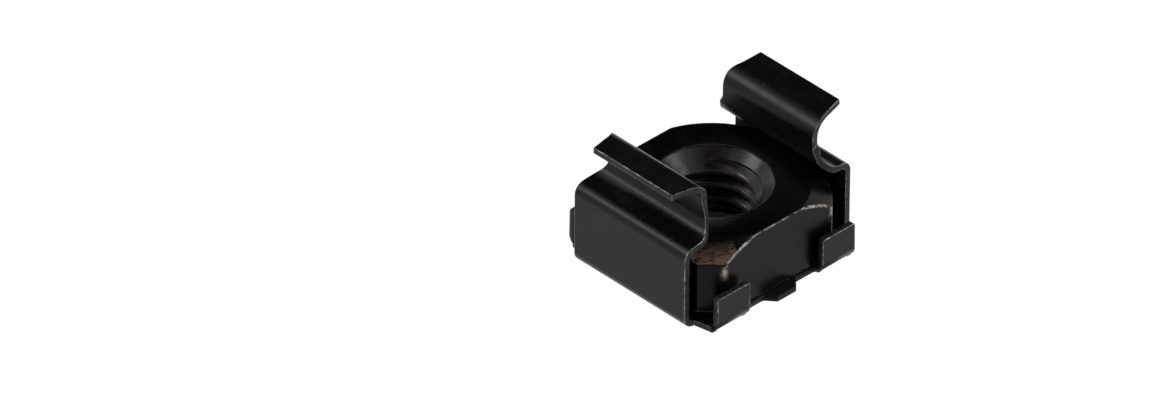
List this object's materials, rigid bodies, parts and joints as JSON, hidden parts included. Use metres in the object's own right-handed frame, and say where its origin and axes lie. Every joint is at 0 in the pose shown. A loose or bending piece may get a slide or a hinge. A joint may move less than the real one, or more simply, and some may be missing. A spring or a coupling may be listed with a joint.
{
  "type": "rack cage nut",
  "caption": "Floating square nut in a folded spring-steel cage that snaps into a square panel hole, for an M6 machine screw.",
  "frame": {"origin": "on the screw's axis, at the underside of the base plate", "axes": "+Z along the screw's axis, from the base plate towards the clips and the panel, the way the screw leaves; +X from the front clip to the rear clip, across the two side walls"},
  "size_m": [0.0138, 0.0126, 0.0091],
  "materials": {
    "cage_steel": "black oxide on spring steel, satin, with bright worn cut edges",
    "nut_steel": "black oxide on machined steel, glossy at the thread and countersinks, worn on its chamfer"
  },
  "bodies": {
    "root": {"cage": "cage_steel", "square_nut": "nut_steel"}
  },
  "joints": []
}
